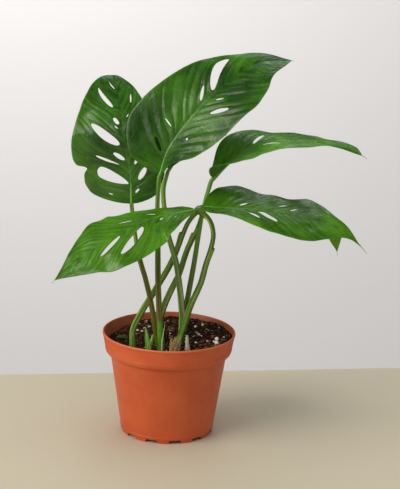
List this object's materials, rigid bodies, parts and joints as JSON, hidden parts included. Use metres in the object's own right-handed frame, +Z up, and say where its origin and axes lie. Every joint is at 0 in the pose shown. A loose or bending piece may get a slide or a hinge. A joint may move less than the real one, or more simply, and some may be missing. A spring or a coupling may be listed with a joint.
{
  "type": "potted monstera plant",
  "caption": "Young Swiss cheese plant in a terracotta-coloured plastic nursery pot: long arching stalks carry glossy pierced leaves above the potting mix.",
  "frame": {"origin": "on the pot's axis, at the flat underside that it stands on", "axes": "+Z up along the pot's axis, +X to the plant's right and -Y to its front"},
  "size_m": [0.2653, 0.1751, 0.3414],
  "materials": {
    "terracotta_plastic": "moulded polypropylene, satin terracotta colour",
    "potting_mix": "dark crumbly peat and bark with white perlite",
    "leaf_blade": "glossy living leaf, deep green with a pale midrib",
    "leaf_stalk": "smooth olive green stalk, browner at the foot",
    "young_shoot": "fresh light green shoot",
    "dry_husk": "dry papery sheath, cream coloured"
  },
  "bodies": {
    "root": {"pot": "terracotta_plastic", "soil": "potting_mix", "leaf_a": "leaf_blade", "leaf_b": "leaf_blade", "leaf_c": "leaf_blade", "leaf_d": "leaf_blade", "leaf_e": "leaf_blade", "leaf_f": "leaf_blade", "leaf_g": "leaf_blade", "stalk_a": "leaf_stalk", "stalk_b": "leaf_stalk", "stalk_c": "leaf_stalk", "stalk_d": "leaf_stalk", "stalk_e": "leaf_stalk", "stalk_f": "leaf_stalk", "stalk_g": "leaf_stalk", "new_shoot": "young_shoot", "dry_sheath_left": "dry_husk", "dry_sheath_right": "dry_husk"}
  },
  "joints": []
}
